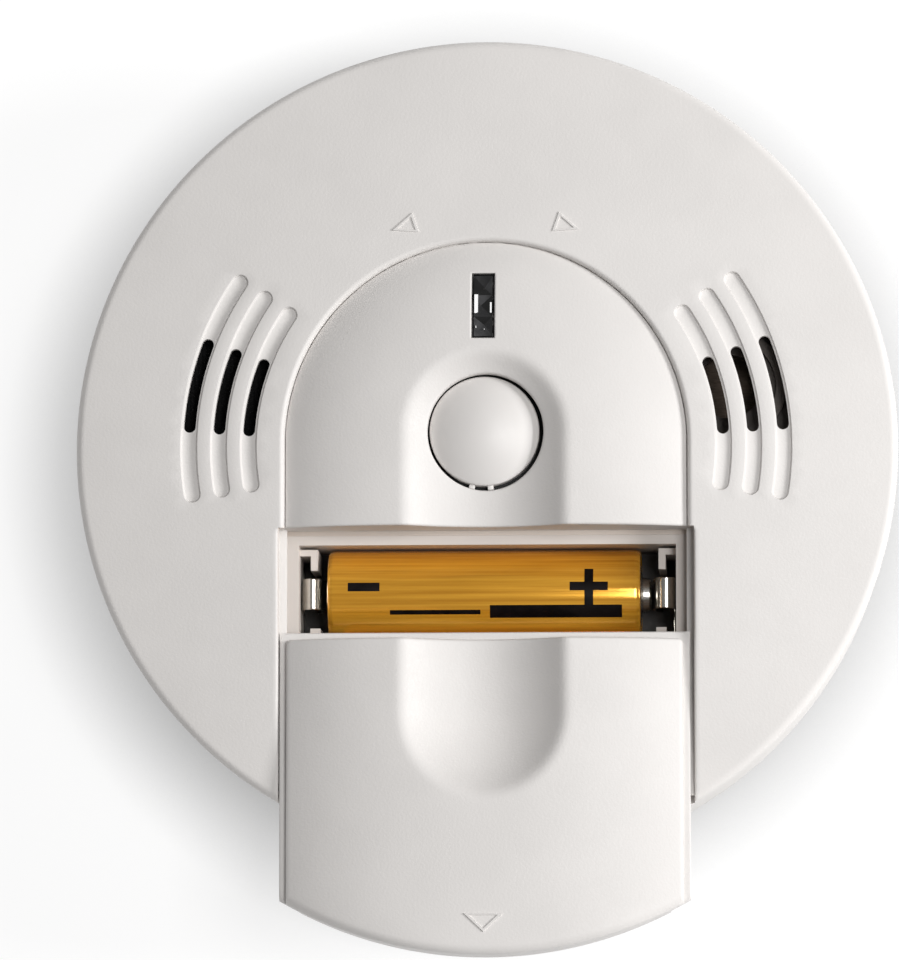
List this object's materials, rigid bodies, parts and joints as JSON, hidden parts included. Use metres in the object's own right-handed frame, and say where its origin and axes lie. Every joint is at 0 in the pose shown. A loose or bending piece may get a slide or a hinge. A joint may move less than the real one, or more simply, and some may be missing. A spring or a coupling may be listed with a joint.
{
  "type": "carbon monoxide detector",
  "caption": "Round white wall-mounted carbon monoxide and smoke alarm with arc vents, a test button in a thumb scoop, and a sliding battery door half open over a cell.",
  "frame": {"origin": "centre of the back of the wall bracket, where the alarm meets the wall", "axes": "+Z out of the wall through the face, +Y towards the side away from the battery door, +X to the right seen from the front"},
  "size_m": [0.128, 0.1437, 0.0407],
  "materials": {
    "cover_plastic": "warm white moulded plastic with a fine spark texture",
    "button_plastic": "satin white",
    "bracket_plastic": "white, fine texture",
    "inner_plastic": "white, smooth",
    "label_paper": "blank printed label",
    "window_lens": "smoked, polished",
    "clear_plastic": "clear, polished",
    "red_lens": "clear red",
    "green_lens": "clear green",
    "board": "green solder mask",
    "chip_black": "moulded epoxy",
    "chip_ceramic": "fired",
    "can_sleeve": "shrink sleeve",
    "ferrite": "ferrite core with copper winding",
    "chamber_plastic": "black, anti-reflective",
    "screen_mesh": "black woven mesh",
    "sensor_metal": "satin nickel",
    "brass": "polished brass",
    "sounder_plastic": "grey-brown moulding",
    "gasket_rubber": "soft rubber",
    "contact_metal": "nickel-plated spring steel",
    "cell_steel": "nickel-plated can",
    "cell_sleeve": "copper-gold metallised film with a plain black band",
    "screw_steel": "zinc plated"
  },
  "bodies": {
    "bracket": {"mounting_bracket": "bracket_plastic"},
    "alarm": {"rear_housing": "inner_plastic", "rating_plate": "label_paper", "front_cover": "cover_plastic", "battery_tray": "inner_plastic", "test_switch": "chip_black", "status_window": "window_lens", "light_guide": "clear_plastic", "led_red": "red_lens", "led_green": "green_lens", "circuit_board": "board", "microcontroller": "chip_black", "logic_chip": "chip_black", "chip_components": "chip_ceramic", "capacitors": "can_sleeve", "boost_coil": "ferrite", "smoke_chamber_base": "chamber_plastic", "smoke_chamber_cap": "chamber_plastic", "insect_screen": "screen_mesh", "ir_emitter": "clear_plastic", "photo_diode": "chip_black", "co_sensor_cell": "sensor_metal", "co_sensor_cap": "inner_plastic", "co_sensor_pins": "brass", "sounder_housing": "chamber_plastic", "sounder_disc": "brass", "sounder_cap": "sounder_plastic", "sounder_gasket": "gasket_rubber", "contact_cell_1": "contact_metal", "contact_cell_2": "contact_metal", "contact_bridge": "contact_metal", "cell_1_can": "cell_steel", "cell_1_sleeve": "cell_sleeve", "cell_2_can": "cell_steel", "cell_2_sleeve": "cell_sleeve", "housing_screws": "screw_steel", "board_screws": "screw_steel"},
    "door": {"battery_door": "cover_plastic"},
    "button": {"test_button": "button_plastic", "switch_plunger": "chip_black"}
  },
  "joints": [
    {"name": "body_twist", "type": "hinge", "parent": "bracket", "child": "alarm", "pos_m": [0, 0, 0.005], "axis": [0, 0, 1], "range_deg": [0, 14]},
    {"name": "door_slide", "type": "slide", "parent": "alarm", "child": "door", "axis": [0, 1, 0], "range_m": [-0.0164, 0.0161]},
    {"name": "button_press", "type": "slide", "parent": "alarm", "child": "button", "axis": [0, 0, -1], "range_m": [0, 0.0008], "stiffness_N_per_m": 1500, "springref_m": -0.0003}
  ]
}
